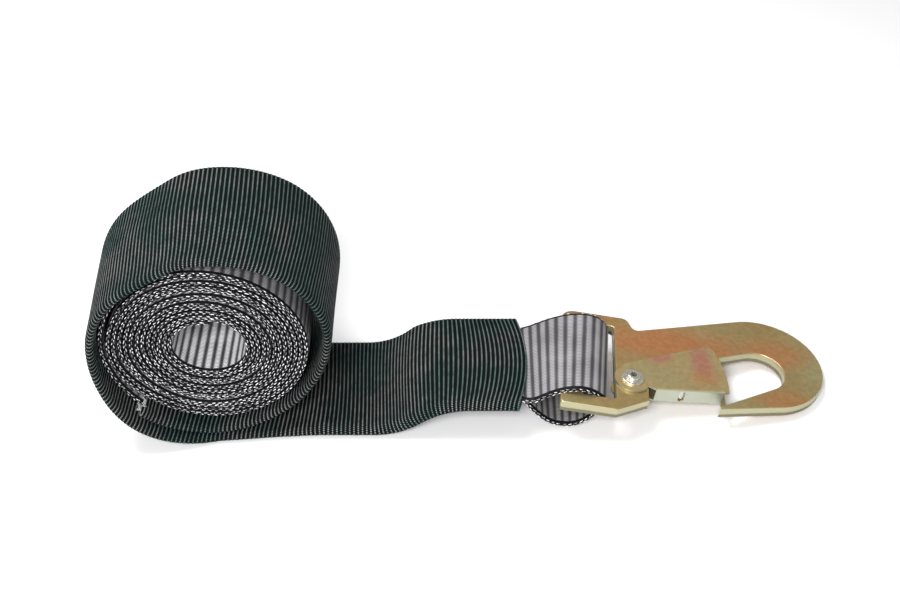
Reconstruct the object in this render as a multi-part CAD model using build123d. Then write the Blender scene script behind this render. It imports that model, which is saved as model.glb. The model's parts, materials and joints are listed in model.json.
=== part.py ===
"""Hook end of a two-inch tie-down: a rolled webbing strap in a wear sleeve, with a flat snap hook.

Frame: origin on the ground under the middle of the roll, +X along the strap to the hook,
+Y across the webbing, +Z up.  Everything is in millimetres.
"""
from build123d import *
from math import asin, atan, atan2, cos, degrees, hypot, radians, sin
import os

os.makedirs("parts", exist_ok=True)

# ---- webbing and sleeve ----
WEBBING_WIDTH = 50.0
WEBBING_THICKNESS = 2.6
SLEEVE_WIDTH = 62.0
SLEEVE_WALL = 0.85
SLEEVE_SLACK = 0.05
SLEEVE_CAVITY_WIDTH = SLEEVE_WIDTH - 2 * SLEEVE_WALL
SLEEVE_THICKNESS = WEBBING_THICKNESS + 2 * (SLEEVE_WALL + SLEEVE_SLACK)
WEBBING_DEPTH = SLEEVE_WALL + SLEEVE_SLACK

# ---- roll: turns counted from the outside in ----
ROLL_RADIUS = 47.3
ROLL_CORE_RADIUS = 14.5
ROLL_CENTRE = (-0.5, 56.7)
OUTER_TURN_RADIUS = 57.5
TURN_STEP = SLEEVE_THICKNESS + 0.2
SLEEVE_MOUTH_ANGLE = 235.0

# ---- run from the roll to the hook ----
TAPER_START = 34.0
LAP_START = 52.0
RAMP_START = 60.0
RAMP_END = 112.0
RAMP_RISE = 16.3
SLEEVE_END = 147.0
STITCH_THICKNESS = 0.3
LAP_DEPTH = WEBBING_DEPTH + WEBBING_THICKNESS
STITCH_DEPTH = LAP_DEPTH + WEBBING_THICKNESS
LAPPED_THICKNESS = STITCH_DEPTH + STITCH_THICKNESS + SLEEVE_SLACK + SLEEVE_WALL

# ---- stitched field that closes the hook loop ----
STITCH_FIELD_START = 114.0
STITCH_FIELD_END = 143.0
STITCH_FIELD_WIDTH = 40.0
STITCH_ROW_WIDTH = 1.6
STITCH_CROSS_ROWS = 4

# ---- hook plate, in the hook's own plane: x along the hook from the loop bar, y across ----
PLATE_THICKNESS = 6.0
PLATE_HALF = PLATE_THICKNESS / 2
EDGE_ROUND = 0.6
FRAME_HALF_WIDTH = 34.0
BAR_HALF_WIDTH = 5.25
WINDOW_END = 22.0
WINDOW_HALF_WIDTH = 26.5
WINDOW_CORNER = 1.8
SIDE_BAR_END = (22.5, -FRAME_HALF_WIDTH)
NOTCH_CORNER = (38.3, -24.3)
SHOULDER_TOP = (28.6, FRAME_HALF_WIDTH)
SHOULDER_FOOT = (32.4, 25.4)
EYE_CENTRE = (95.5, 9.0)
EYE_RADIUS = 13.3
EYE_BACK_ANGLE = 113.8
EYE_NOSE_ANGLE = -57.0
BOWL_CENTRE = (97.8, 15.6)
BOWL_RADIUS = 31.5
NOSE_INNER = (74.1, -20.7)
NOSE_TIP = (73.4, -22.9)
REAR_TAIL_ROUND = 7.0
FRONT_TAIL_ROUND = 1.5
SIDE_BAR_ROUND = 3.0
SHOULDER_TOP_ROUND = 4.0
SHOULDER_FOOT_ROUND = 3.0
EYE_ENTRY_ROUND = 2.0

# ---- gate: a folded sheet channel that straddles the plate ----
PIVOT = (30.0, -11.8)
GATE_SHEET = 1.2
GATE_CLEARANCE = 0.15
GATE_INSIDE = PLATE_HALF + GATE_CLEARANCE
GATE_OUTSIDE = GATE_INSIDE + GATE_SHEET
GATE_EAR_RADIUS = 8.9
GATE_EAR_BACK_ANGLE = 130.0
GATE_BACK_CORNER = (26.5, -1.9)
GATE_TOP_CORNER = (69.8, 20.6)
GATE_TIP_TOP = (72.6, 17.8)
GATE_TIP_MIDDLE = (76.9, 4.0)
GATE_TIP_BOTTOM = (78.5, -10.0)
WEB_ANGLE = 8.2
WEB_DEPTH = 6.9
WEB_START = 11.0
WEB_END = 45.4
GATE_TIP_REACH = 47.9
REAR_LUG_DROP = 7.5
REAR_LUG_ROOT = 1.0
WEB_SLOT_POSITION = 24.5
WEB_SLOT_WIDTH = 3.0
WEB_SLOT_LENGTH = 6.6
WEB_FOLD_ROUND = 0.95

# ---- rivet, washer and spring ----
RIVET_RADIUS = 3.0
RIVET_RUNNING_FIT = 0.05
RIVET_SEAT_FIT = 0.02
WASHER_RADIUS = 5.6
WASHER_THICKNESS = 1.0
RIVET_HEAD_RADIUS = 5.4
RIVET_HEAD_HEIGHT = 1.8
RIVET_ROLL_RADIUS = 3.4
RIVET_ROLL_HEIGHT = 1.6
RIVET_BORE_RADIUS = 1.6
RIVET_BORE_DEPTH = 7.0
RIVET_HEAD_ROUND = 1.4
RIVET_ROLL_ROUND = 0.95
WASHER_ROUND = 0.5
SPRING_STRIP = 0.6
SPRING_WIDTH = 5.0
SPRING_GAP = 0.1
SPRING_LEG_START = 12.5
SPRING_LEG_END = 26.0
SPRING_BACK_START = 4.5
SPRING_BACK_END = 20.0
SPRING_BEND = 2.0

# ---- how the hook lies: the bar's centre in the loop, tipped so the bowl rests on the ground ----
HOOK_TILT = 8.5
HOOK_YAW = -3.5
BAR_X = 171.3
BAR_Y = 0.6
BOWL_REACH = BOWL_CENTRE[0] + BOWL_RADIUS
BAR_Z = BOWL_REACH * sin(radians(HOOK_TILT)) + PLATE_HALF * cos(radians(HOOK_TILT))
HOOK_PLACE = Pos(BAR_X, BAR_Y, BAR_Z) * Rotation(0, 0, HOOK_YAW) * Rotation(0, HOOK_TILT, 0)

# ---- webbing loop round the hook bar: outside of the loop in the X-Z plane ----
LOOP_OUTSIDE = [
    (154.0, 26.0), (162.0, 30.0), (170.0, 32.4), (178.5, 32.4), (185.6, 29.0), (189.6, 22.0),
    (188.4, 14.0), (184.0, 6.6), (176.5, 1.5), (168.0, 0.4), (159.5, 3.0), (152.0, 10.0),
]
LOOP_CROTCH = 2.0
LOOP_FIRST_SAMPLE = 0.09
LOOP_SAMPLES = 14


def polar(centre, radius, angle):
    """Point at an angle in degrees on a circle."""
    return (centre[0] + radius * cos(radians(angle)), centre[1] + radius * sin(radians(angle)))


def line(start, end):
    """Straight edge between two points."""
    return Line(start, end)


def flat_face(edges):
    """Face bounded by edges laid end to end, facing up."""
    face = Face(Wire(edges))
    return face if face.normal_at().Z > 0 else -face


def across(face, width):
    """Turn a face drawn in X-Z into a solid that runs across the webbing."""
    return extrude(Plane.XZ * face, width / 2, both=True)


def save(shape, node):
    """Write one sub-part."""
    export_step(shape, f"parts/{node}.step")


# ---------------------------------------------------------------- the turns round the roll
def turn_arcs():
    """Centre, outside radius, start and end angle of each arc of the sleeved turn."""
    inner_radius = OUTER_TURN_RADIUS - TURN_STEP
    middle_radius = OUTER_TURN_RADIUS - TURN_STEP / 2
    outer_centre = (0.0, OUTER_TURN_RADIUS)
    middle_centre = (0.0, OUTER_TURN_RADIUS + TURN_STEP / 2)
    return [
        (outer_centre, inner_radius, SLEEVE_MOUTH_ANGLE, 270.0),
        (middle_centre, middle_radius, 270.0, 450.0),
        (outer_centre, OUTER_TURN_RADIUS, 450.0, 630.0),
    ]


def turn_face(depth_outer, depth_inner):
    """Band of the sleeved turn between two depths below its outside."""
    outer = []
    inner = []
    for centre, radius, start, end in turn_arcs():
        outer.append(Pos(*centre) * CenterArc((0, 0), radius - depth_outer, start, end - start))
        inner.append(Pos(*centre) * CenterArc((0, 0), radius - depth_inner, start, end - start))
    mouth = line(outer[0] @ 0, inner[0] @ 0)
    foot = line(outer[-1] @ 1, inner[-1] @ 1)
    return flat_face([*outer, foot, *inner, mouth])


def webbing_roll():
    """Bare webbing wound on itself round an open core."""
    ring = Circle(ROLL_RADIUS) - Circle(ROLL_CORE_RADIUS)
    return across(Pos(*ROLL_CENTRE) * ring, WEBBING_WIDTH)


def webbing_turn():
    """Webbing inside the sleeved turn."""
    return across(turn_face(WEBBING_DEPTH, WEBBING_DEPTH + WEBBING_THICKNESS), WEBBING_WIDTH)


def wear_sleeve_turn():
    """Tubular sleeve round the sleeved turn."""
    skin = across(turn_face(0, SLEEVE_THICKNESS), SLEEVE_WIDTH)
    cavity = across(turn_face(SLEEVE_WALL, SLEEVE_THICKNESS - SLEEVE_WALL), SLEEVE_CAVITY_WIDTH)
    return skin - cavity


# ---------------------------------------------------------------- the run to the hook
def ramp_edges(depth):
    """Two tangent arcs that lift the run off the ground, a given height above its underside."""
    length = RAMP_END - RAMP_START
    radius = (length**2 + RAMP_RISE**2) / (4 * RAMP_RISE)
    sweep = 2 * degrees(atan(RAMP_RISE / length))
    lower = Pos(RAMP_START, radius) * CenterArc((0, 0), radius - depth, -90, sweep)
    upper = Pos(RAMP_END, RAMP_RISE - radius) * CenterArc((0, 0), radius + depth, 90, sweep)
    return [lower, upper]


def run_side(start, depth, end):
    """Edges along the run at one height above its underside."""
    entry = line((start, depth), (RAMP_START, depth))
    leaving = line((RAMP_END, RAMP_RISE + depth), (end, RAMP_RISE + depth))
    return [entry, *ramp_edges(depth), leaving]


def run_face(bottom, single_top, lapped_top, end):
    """Outline of the run, thin near the roll and thicker where the webbing is doubled."""
    lower = run_side(0.0, bottom, end)
    upper = run_side(LAP_START, lapped_top, end)
    taper = line((LAP_START, lapped_top), (TAPER_START, single_top))
    roof = line((TAPER_START, single_top), (0.0, single_top))
    near = line((0.0, single_top), (0.0, bottom))
    far = line((end, RAMP_RISE + bottom), (end, RAMP_RISE + lapped_top))
    return flat_face([*lower, far, *upper, taper, roof, near])


def layer_face(start, bottom, top, end):
    """Outline of one webbing layer of the run."""
    near = line((start, bottom), (start, top))
    far = line((end, RAMP_RISE + bottom), (end, RAMP_RISE + top))
    return flat_face([*run_side(start, bottom, end), far, *run_side(start, top, end), near])


def wear_sleeve_run():
    """Tubular sleeve over the run, open at the hook end."""
    skin = across(run_face(0, SLEEVE_THICKNESS, LAPPED_THICKNESS, SLEEVE_END), SLEEVE_WIDTH)
    cavity_face = run_face(
        SLEEVE_WALL,
        SLEEVE_THICKNESS - SLEEVE_WALL,
        LAPPED_THICKNESS - SLEEVE_WALL,
        SLEEVE_END,
    )
    return skin - across(cavity_face, SLEEVE_CAVITY_WIDTH)


def webbing_run():
    """Main webbing layer between the roll and the loop."""
    return across(layer_face(0.0, WEBBING_DEPTH, LAP_DEPTH, SLEEVE_END), WEBBING_WIDTH)


def webbing_lap():
    """Tail of the loop folded back over the main layer."""
    return across(layer_face(LAP_START + 1, LAP_DEPTH, STITCH_DEPTH, SLEEVE_END), WEBBING_WIDTH)


def lap_stitching():
    """Rows of thread that sew the lap down, drawn as one raised pattern."""
    length = STITCH_FIELD_END - STITCH_FIELD_START
    frame = Rectangle(length, STITCH_FIELD_WIDTH)
    frame -= Rectangle(length - 2 * STITCH_ROW_WIDTH, STITCH_FIELD_WIDTH - 2 * STITCH_ROW_WIDTH)
    pitch = (length - STITCH_ROW_WIDTH) / (STITCH_CROSS_ROWS + 1)
    for row in range(1, STITCH_CROSS_ROWS + 1):
        offset = -length / 2 + STITCH_ROW_WIDTH / 2 + row * pitch
        frame += Pos(offset, 0) * Rectangle(STITCH_ROW_WIDTH, STITCH_FIELD_WIDTH)
    middle = (STITCH_FIELD_START + STITCH_FIELD_END) / 2
    return Pos(middle, 0, RAMP_RISE + STITCH_DEPTH) * extrude(frame, STITCH_THICKNESS)


def hook_loop():
    """Webbing loop that holds the hook's bar, closed at the end of the sleeve."""
    low = (SLEEVE_END, RAMP_RISE + WEBBING_DEPTH)
    high = (SLEEVE_END, RAMP_RISE + STITCH_DEPTH)
    outside = Edge.make_spline([Vector(*point) for point in [high, *LOOP_OUTSIDE, low]])
    crotch = Vector(SLEEVE_END + LOOP_CROTCH, RAMP_RISE + LAP_DEPTH)
    inside_points = [crotch]
    for step in range(LOOP_SAMPLES + 1):
        share = LOOP_FIRST_SAMPLE + (1 - 2 * LOOP_FIRST_SAMPLE) * step / LOOP_SAMPLES
        inward = (outside % share).rotate(Axis.Z, -90)
        inside_points.append(outside @ share + inward * WEBBING_THICKNESS)
    inside_points.append(crotch)
    inside = Edge.make_spline(inside_points)
    loop = across(flat_face([outside, line(low, high)]), WEBBING_WIDTH)
    return loop - across(flat_face([inside]), 2 * WEBBING_WIDTH)


# ---------------------------------------------------------------- the hook plate
def tangent_point(centre, radius, point, side):
    """Where a line from a point touches a circle, on the side given by +1 or -1."""
    away = (point[0] - centre[0], point[1] - centre[1])
    distance = hypot(*away)
    heading = degrees(atan2(away[1], away[0]))
    return polar(centre, radius, heading + side * (90 - degrees(asin(radius / distance))))


def eye_entry():
    """Where the eye's straight back edge meets the notch that the gate covers."""
    back = polar(EYE_CENTRE, EYE_RADIUS, EYE_BACK_ANGLE)
    slope = sin(radians(EYE_BACK_ANGLE - 90)) / cos(radians(EYE_BACK_ANGLE - 90))
    return (NOTCH_CORNER[0], back[1] - (back[0] - NOTCH_CORNER[0]) * slope)


def plate_face():
    """Outline of the stamped plate: frame, shank, bowl and nose."""
    back = polar(EYE_CENTRE, EYE_RADIUS, EYE_BACK_ANGLE)
    inner = polar(EYE_CENTRE, EYE_RADIUS, EYE_NOSE_ANGLE)
    low = tangent_point(BOWL_CENTRE, BOWL_RADIUS, NOSE_TIP, 1)
    high = tangent_point(BOWL_CENTRE, BOWL_RADIUS, SHOULDER_FOOT, -1)
    corner_low = (-BAR_HALF_WIDTH, -FRAME_HALF_WIDTH)
    corner_high = (-BAR_HALF_WIDTH, FRAME_HALF_WIDTH)
    eye = Pos(*EYE_CENTRE) * CenterArc((0, 0), EYE_RADIUS, EYE_BACK_ANGLE, EYE_NOSE_ANGLE - EYE_BACK_ANGLE)
    bowl = Edge.make_three_point_arc(
        Vector(*low), Vector(BOWL_REACH, BOWL_CENTRE[1]), Vector(*high)
    )
    edges = [
        line(corner_low, SIDE_BAR_END),
        line(SIDE_BAR_END, NOTCH_CORNER),
        line(NOTCH_CORNER, eye_entry()),
        line(eye_entry(), back),
        eye,
        line(inner, NOSE_INNER),
        line(NOSE_INNER, NOSE_TIP),
        line(NOSE_TIP, low),
        bowl,
        line(high, SHOULDER_FOOT),
        line(SHOULDER_FOOT, SHOULDER_TOP),
        line(SHOULDER_TOP, corner_high),
        line(corner_high, corner_low),
    ]
    return flat_face(edges)


def round_corner(face, point, radius):
    """Round the corner of a face nearest to a point."""
    corner = min(face.vertices(), key=lambda v: hypot(v.X - point[0], v.Y - point[1]))
    return fillet(corner, radius)


def hook_body():
    """Stamped steel plate with the webbing window, the eye and the rivet bore."""
    face = plate_face()
    face = round_corner(face, (-BAR_HALF_WIDTH, FRAME_HALF_WIDTH), REAR_TAIL_ROUND)
    face = round_corner(face, (-BAR_HALF_WIDTH, -FRAME_HALF_WIDTH), FRONT_TAIL_ROUND)
    face = round_corner(face, SIDE_BAR_END, SIDE_BAR_ROUND)
    face = round_corner(face, SHOULDER_TOP, SHOULDER_TOP_ROUND)
    face = round_corner(face, SHOULDER_FOOT, SHOULDER_FOOT_ROUND)
    face = round_corner(face, eye_entry(), EYE_ENTRY_ROUND)
    window = RectangleRounded(WINDOW_END - BAR_HALF_WIDTH, 2 * WINDOW_HALF_WIDTH, WINDOW_CORNER)
    face -= Pos((WINDOW_END + BAR_HALF_WIDTH) / 2, 0) * window
    plate = extrude(face, PLATE_HALF, both=True)
    rims = plate.edges().group_by(Axis.Z)
    plate = fillet(rims[0] + rims[-1], EDGE_ROUND)
    bore = Pos(*PIVOT) * Cylinder(RIVET_RADIUS + RIVET_RUNNING_FIT, 2 * PLATE_THICKNESS)
    return HOOK_PLACE * (plate - bore)


# ---------------------------------------------------------------- the gate
def along_web(distance, depth):
    """Point measured from the pivot along the gate's web line and down to it."""
    angle = radians(WEB_ANGLE)
    x = PIVOT[0] + distance * cos(angle) + depth * sin(angle)
    y = PIVOT[1] + distance * sin(angle) - depth * cos(angle)
    return (x, y)


def gate_cheek():
    """Flat side of the gate: an ear round the rivet and a fan out to the tip."""
    tip = Edge.make_three_point_arc(
        Vector(*GATE_TIP_TOP), Vector(*GATE_TIP_MIDDLE), Vector(*GATE_TIP_BOTTOM)
    )
    ear_back = polar(PIVOT, GATE_EAR_RADIUS, GATE_EAR_BACK_ANGLE)
    edges = [
        line(PIVOT, ear_back),
        line(ear_back, GATE_BACK_CORNER),
        line(GATE_BACK_CORNER, GATE_TOP_CORNER),
        line(GATE_TOP_CORNER, GATE_TIP_TOP),
        tip,
        line(GATE_TIP_BOTTOM, along_web(GATE_TIP_REACH, WEB_DEPTH)),
        line(along_web(GATE_TIP_REACH, WEB_DEPTH), along_web(WEB_START, WEB_DEPTH)),
        line(along_web(WEB_START, WEB_DEPTH), PIVOT),
    ]
    return flat_face(edges) + Pos(*PIVOT) * Circle(GATE_EAR_RADIUS)


def rear_lug():
    """Lug at the tip of the rear side that reaches behind the nose."""
    width = GATE_TIP_REACH - WEB_END
    height = REAR_LUG_DROP + REAR_LUG_ROOT
    middle = along_web((GATE_TIP_REACH + WEB_END) / 2, WEB_DEPTH - REAR_LUG_ROOT + height / 2)
    return Pos(*middle) * Rotation(0, 0, WEB_ANGLE) * Rectangle(width, height)


def gate_web():
    """Web that joins the two cheeks, with rounded folds and a spring slot."""
    length = WEB_END - WEB_START
    block = Box(length, GATE_SHEET, 2 * GATE_OUTSIDE)
    folds = block.edges().filter_by(Axis.X).group_by(Axis.Y)[0]
    block = fillet(folds, WEB_FOLD_ROUND)
    opening = SlotOverall(WEB_SLOT_LENGTH, WEB_SLOT_WIDTH, rotation=90)
    slot = Rotation(90, 0, 0) * extrude(opening, 2 * GATE_SHEET, both=True)
    block -= Pos(WEB_SLOT_POSITION - (WEB_START + WEB_END) / 2, 0, 0) * slot
    middle = along_web((WEB_START + WEB_END) / 2, WEB_DEPTH - GATE_SHEET / 2)
    return Pos(*middle) * Rotation(0, 0, WEB_ANGLE) * block


def gate():
    """Folded sheet gate."""
    front = Pos(0, 0, GATE_INSIDE) * extrude(gate_cheek(), GATE_SHEET)
    rear = Pos(0, 0, -GATE_OUTSIDE) * extrude(gate_cheek() + rear_lug(), GATE_SHEET)
    trim_length = WEB_END - WEB_START
    trim = Box(trim_length, GATE_SHEET * 2, 3 * GATE_OUTSIDE)
    trim_place = along_web((WEB_START + WEB_END) / 2, WEB_DEPTH)
    trim = Pos(*trim_place) * Rotation(0, 0, WEB_ANGLE) * trim
    shell = (front - trim) + (rear - trim) + gate_web()
    bore = Pos(*PIVOT) * Cylinder(RIVET_RADIUS + RIVET_SEAT_FIT, 4 * GATE_OUTSIDE)
    return HOOK_PLACE * (shell - bore)


def disc(radius, bottom, top):
    """Round bar along the rivet's axis between two heights."""
    return Pos(0, 0, bottom) * extrude(Circle(radius), top - bottom)


def gate_rivet():
    """Semi-tubular rivet: domed rear head, shank, and a rolled front end round its bore."""
    top = GATE_OUTSIDE + WASHER_THICKNESS
    end = top + RIVET_ROLL_HEIGHT
    shank = disc(RIVET_RADIUS, -GATE_OUTSIDE, top)
    head = disc(RIVET_HEAD_RADIUS, -GATE_OUTSIDE - RIVET_HEAD_HEIGHT, -GATE_OUTSIDE)
    head = fillet(head.edges().group_by(Axis.Z)[0], RIVET_HEAD_ROUND)
    rolled = disc(RIVET_ROLL_RADIUS, top, end)
    rolled = fillet(rolled.edges().group_by(Axis.Z)[-1], RIVET_ROLL_ROUND)
    bore = disc(RIVET_BORE_RADIUS, end - RIVET_BORE_DEPTH, end)
    return HOOK_PLACE * Pos(*PIVOT) * (shank + head + rolled - bore)


def rivet_washer():
    """Washer under the rolled end of the rivet."""
    ring = Circle(WASHER_RADIUS) - Circle(RIVET_RADIUS + RIVET_SEAT_FIT)
    washer = extrude(ring, WASHER_THICKNESS)
    rim = washer.edges().group_by(Axis.Z)[-1].sort_by(SortBy.RADIUS)[-1]
    washer = fillet(rim, WASHER_ROUND)
    return HOOK_PLACE * Pos(PIVOT[0], PIVOT[1], GATE_OUTSIDE) * washer


def gate_spring():
    """Bent leaf spring between the plate's edge and the inside of the gate's web."""
    depth = WEB_DEPTH - GATE_SHEET - SPRING_GAP - SPRING_STRIP / 2
    slope = radians(EYE_BACK_ANGLE - 90)
    entry = eye_entry()
    inset = SPRING_GAP + SPRING_STRIP / 2
    back = []
    for distance in (SPRING_BACK_START, SPRING_BACK_END):
        x = entry[0] + distance * cos(slope) + inset * sin(slope)
        y = entry[1] + distance * sin(slope) - inset * cos(slope)
        back.append((x, y))
    web_near = along_web(SPRING_LEG_START, depth)
    web_far = along_web(SPRING_LEG_END, depth)
    path = FilletPolyline(web_far, web_near, back[0], back[1], radius=SPRING_BEND)
    strip = trace(path, SPRING_STRIP)
    return HOOK_PLACE * extrude(strip, SPRING_WIDTH / 2, both=True)


PARTS = {
    "webbing_roll": webbing_roll,
    "webbing_turn": webbing_turn,
    "webbing_run": webbing_run,
    "webbing_lap": webbing_lap,
    "hook_loop": hook_loop,
    "lap_stitching": lap_stitching,
    "wear_sleeve_turn": wear_sleeve_turn,
    "wear_sleeve_run": wear_sleeve_run,
    "hook_body": hook_body,
    "gate": gate,
    "gate_rivet": gate_rivet,
    "rivet_washer": rivet_washer,
    "gate_spring": gate_spring,
}

for node, build in PARTS.items():
    save(build(), node)
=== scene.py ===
"""Looks of the hook end of a two-inch tie-down: webbing rolled up in a wear sleeve, and a flat snap hook.

Lengths in the webbing and sleeve code are millimetres, and become metres when a mesh is made.
Paths lie in the X-Z plane. They run from the core of the roll, out round the sleeved turn, along
the ground to the hook, round the hook's bar and back along the lap.
"""

import json
from math import pi, radians

import bmesh
import bpy
import numpy as np
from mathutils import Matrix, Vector


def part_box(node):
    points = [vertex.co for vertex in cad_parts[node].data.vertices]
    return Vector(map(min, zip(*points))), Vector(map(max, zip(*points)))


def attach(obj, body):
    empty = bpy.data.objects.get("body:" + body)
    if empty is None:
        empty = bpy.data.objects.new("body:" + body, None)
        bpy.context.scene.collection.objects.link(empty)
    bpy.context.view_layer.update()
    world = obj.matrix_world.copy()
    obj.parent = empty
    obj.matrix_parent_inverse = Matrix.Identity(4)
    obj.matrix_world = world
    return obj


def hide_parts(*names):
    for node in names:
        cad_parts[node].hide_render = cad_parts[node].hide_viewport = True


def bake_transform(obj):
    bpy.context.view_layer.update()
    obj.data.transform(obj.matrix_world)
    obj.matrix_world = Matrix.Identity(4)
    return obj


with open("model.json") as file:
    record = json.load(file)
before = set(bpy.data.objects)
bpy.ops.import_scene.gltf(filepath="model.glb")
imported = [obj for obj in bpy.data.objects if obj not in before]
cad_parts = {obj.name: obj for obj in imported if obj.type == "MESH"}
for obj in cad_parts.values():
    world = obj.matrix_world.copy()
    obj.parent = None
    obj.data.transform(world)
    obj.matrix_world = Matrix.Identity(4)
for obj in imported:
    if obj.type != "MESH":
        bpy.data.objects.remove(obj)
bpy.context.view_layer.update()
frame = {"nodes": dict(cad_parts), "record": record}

MM = 0.001
PATH_STEP = 0.25
USUAL_RADIUS = 50.0
HIDDEN_ROW_PITCH = 3.0
LINING_ROW_PITCH = 4.0

# ---- webbing ----
WEBBING_WIDTH = 50.0
WEBBING_THICKNESS = 2.6
ROLLED_THICKNESS = 2.15
BAND_PITCH = 4.4
BAND_HEIGHT = 0.13
SELVAGE_WIDTH = 1.4
THREAD_PITCH = 0.95
SECTION_COLUMNS = 12
SECTION_EDGE_POINTS = 5

# ---- light weft loops that show on the webbing's black edges ----
PICK_PITCH = 3.3
PICK_LENGTH = 2.0
PICK_RADIUS = 0.21
PICK_HEIGHT = 0.44
PICK_TILT = 0.16
PICK_JITTER = 0.35
PICK_DEPTH = 0.12

# ---- roll; angles are in degrees from +X towards +Z ----
ROLL_CENTRE = (-1.3, 55.6)
ROLL_START = 80.0
ROLL_END = 4380.0
ROLL_FIRST_RADIUS = 15.8
ROLL_LAST_RADIUS = 45.0
ROLL_FORWARD = -3.6
ROLL_BULGE = 2.4
ROLL_BULGE_ANGLE = 192.0
ROLL_BULGE_WIDTH = 26.0
ROLL_OVAL = 1.3
ROLL_WAVE = 0.35
LAST_LOOSE_STRETCH = 70.0
LAST_PRESSED_STRETCH = 40.0

# ---- wear sleeve ----
SLEEVE_WIDTH = 65.0
SLEEVE_WALL = 0.85
SLEEVE_THICKNESS = 4.4
LAPPED_THICKNESS = 7.3
SLEEVE_COLUMNS = 20
SLEEVE_EDGE_POINTS = 8
SLEEVE_EDGE_DEPTH = 4.2
END_OVERHANG = 4.0
RIB_PITCH = 2.05
RIB_SAMPLES = 5
RIB_HEIGHT = 0.30
BEAD_PITCH = 0.78

# ---- turn that the sleeve covers, from its mouth under the roll, round it, and down to the ground ----
OUTER_TURN_RADIUS = 57.5
TURN_STEP = 4.6
MOUTH_ANGLE = 226.0
TURN_BOTTOM = 270.0
TURN_TOP = 450.0
TURN_END = 630.0
TURN_SWAY = 6.2
TURN_SWAY_ANGLE = 12.0
TURN_FORWARD = 0.6
FRONT_SPILL = 5.4
FRONT_SPILL_ANGLE = 592.0
FRONT_SPILL_WIDTH = 38.0
FRONT_DROOP = 6.0
FRONT_DROOP_ANGLE = 440.0
REAR_FLARE = 1.6
REAR_FLARE_ANGLE = 408.0
LEFT_LEAN = 1.7
LEFT_LEAN_ANGLE = 518.0
TOP_DIP = 2.3
TOP_DIP_ANGLE = 483.0
TOP_DIP_WIDTH = 20.0
RIGHT_SLACK = 1.6
RIGHT_SLACK_ANGLE = 374.0
HALF_REACH = 33.0

# ---- run along the ground, which climbs a ramp to the hook ----
RAMP_START = 71.5
RAMP_END = 118.5
RAMP_RISE = 16.3
RAMP_SKEW = 0.10
RUN_SHIFT = -0.3
SLEEVE_END = 147.0
LAP_END = 53.0
TAPER_START = 34.0
TAPER_END = 52.0

# ---- frayed yarn ends at the sleeve's mouth ----
FRAY_COUNT = 46
FRAY_FRONT_SHARE = 0.75
FRAY_REACH = 31.0
FRAY_FRONT_END = -22.0
FRAY_HALF_GAP = 1.9
FRAY_FORWARD = 2.6

# ---- lockstitch that sews the lap down ----
STITCH_START = 114.8
STITCH_END = 142.2
STITCH_HALF_WIDTH = 19.2
STITCH_ROWS = 6
STITCH_PITCH = 2.9
STITCH_LENGTH = 2.4
STITCH_RADIUS = 0.3
STITCH_SLANT = 0.12
STITCH_ABOVE_UNDERSIDE = SLEEVE_WALL + 0.05 + 2 * WEBBING_THICKNESS + 0.12

# ---- loop round the hook's bar, outside points from the sleeve's lower side round to its upper ----
LOOP_OUTSIDE = [
    (147.0, 17.2), (152.0, 10.0), (159.5, 3.0), (168.0, 0.5), (176.5, 1.5), (184.0, 6.6),
    (188.4, 14.0), (189.6, 22.0), (185.6, 29.0), (178.5, 32.4), (170.0, 32.4), (162.0, 30.0),
    (154.0, 26.0), (147.0, 22.4),
]
LOOP_REAR_LIFT = 4.2
LOOP_FORWARD = 1.4
LOOP_SPREAD = 0.6
LOOP_YAW = 0.10

# ---- hook: the gate turns about a line square to the plate, and the hook about its webbing bar ----
joints = {joint["name"]: joint for joint in frame["record"]["behaviour"]["joints"]}
PLATE_UP = joints["gate_swing"]["axis"]
BAR_PLACE = joints["hook_swing"]["pos_m"]

# ---- colours ----
# painted shade: near-black colour of the grooves between the webbing's cross bands
WEBBING_GROOVE_PAINTED_SHADE = (0.045, 0.043, 0.047, 1.0)
WEBBING_CREST = (0.36, 0.352, 0.365, 1.0)
# painted light: crest colour of the innermost turns, much paler where light falls into the roll's core
WEBBING_CORE_PAINTED_LIGHT = (0.95, 0.94, 0.96, 1.0)
SELVAGE_LOW = (0.0015, 0.0015, 0.002, 1.0)
SELVAGE_HIGH = (0.007, 0.007, 0.008, 1.0)
PICK_SHADED = (0.12, 0.115, 0.125, 1.0)
PICK_BRIGHT = (0.95, 0.94, 0.97, 1.0)
# painted shade: near-black colour of the grooves between the sleeve's ribs and beads
SLEEVE_GROOVE_PAINTED_SHADE = (0.0008, 0.0022, 0.002, 1.0)
# crest colours: the yarn's own grey-green, partly lightened as a painted highlight
SLEEVE_GREEN = (0.125, 0.21, 0.195, 1.0)
SLEEVE_GREY = (0.225, 0.24, 0.235, 1.0)
FRAY_DARK = (0.35, 0.36, 0.36, 1.0)
FRAY_LIGHT = (0.8, 0.8, 0.8, 1.0)
STITCH_DARK = (0.008, 0.008, 0.009, 1.0)
STITCH_LIGHT = (0.05, 0.05, 0.055, 1.0)
OLIVE = (0.42, 0.30, 0.125, 1.0)
GATE_OLIVE = (0.50, 0.38, 0.18, 1.0)
SALMON = (0.58, 0.25, 0.10, 1.0)
PINK = (0.55, 0.22, 0.17, 1.0)
GREEN_GREY = (0.44, 0.38, 0.19, 1.0)
# wall tints: paler than the faces, partly painted reflection of the front light on the walls
PALE_WALL_PAINTED_REFLECTION = (0.42, 0.40, 0.26, 1.0)
GATE_WALL_PAINTED_REFLECTION = (0.40, 0.42, 0.34, 1.0)
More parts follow.
